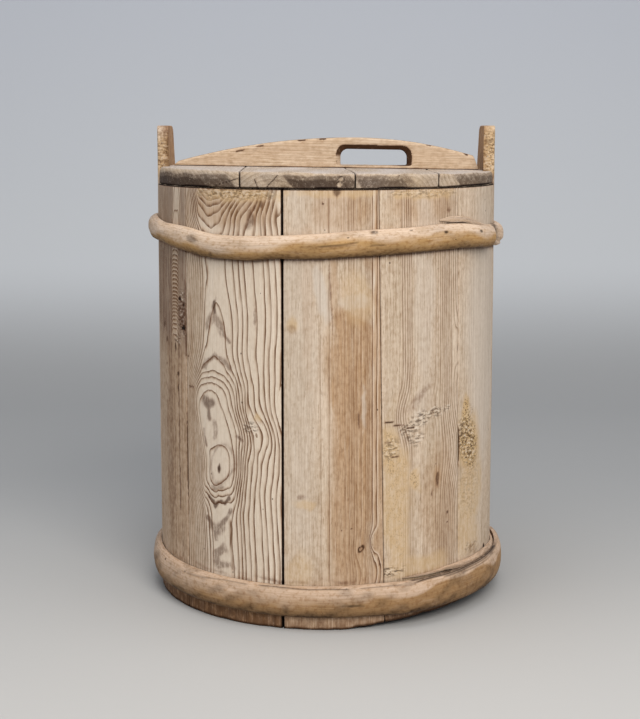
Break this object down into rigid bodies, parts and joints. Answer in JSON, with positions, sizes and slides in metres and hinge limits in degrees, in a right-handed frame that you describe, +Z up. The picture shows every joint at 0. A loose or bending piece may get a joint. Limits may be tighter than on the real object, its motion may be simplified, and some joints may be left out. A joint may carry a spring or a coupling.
{
  "type": "lidded stave tub",
  "caption": "Straight-sided wooden stave tub with split-branch hoops, raised ear staves and a loose boarded lid with an arched hand-slot handle, for storing food and dry goods.",
  "frame": {"origin": "middle of the tub's foot, on the floor", "axes": "+Z up, -Y the front, +X to the right as seen from the front, along the lid's handle"},
  "size_m": [0.4522, 0.4472, 0.58],
  "materials": {
    "stave_wood": "bare weathered pine",
    "bottom_wood": "bare aged pine",
    "hoop_wood": "debarked split branch, worn smooth",
    "lid_wood": "bare greyed pine",
    "handle_wood": "bare pine, hand worn",
    "dowel_wood": "whittled peg"
  },
  "bodies": {
    "tub": {"ear_stave_left": "stave_wood", "stave_left_front": "stave_wood", "stave_front_left": "stave_wood", "stave_front": "stave_wood", "stave_front_right": "stave_wood", "stave_right_front": "stave_wood", "ear_stave_right": "stave_wood", "stave_right_back": "stave_wood", "stave_back_right": "stave_wood", "stave_back": "stave_wood", "stave_back_left": "stave_wood", "stave_left_back": "stave_wood", "bottom_board_left": "bottom_wood", "bottom_board_mid_left": "bottom_wood", "bottom_board_mid_right": "bottom_wood", "bottom_board_right": "bottom_wood", "bottom_dowels": "dowel_wood", "lower_hoop": "hoop_wood", "upper_hoop": "hoop_wood"},
    "lid": {"lid_board_left": "lid_wood", "lid_board_mid_left": "lid_wood", "lid_board_mid_right": "lid_wood", "lid_board_right": "lid_wood", "lid_dowels": "dowel_wood", "lid_handle": "handle_wood"}
  },
  "joints": [
    {"name": "lid_lift", "type": "slide", "parent": "tub", "child": "lid", "axis": [0, 0, 1], "range_m": [0, 0.3]}
  ]
}
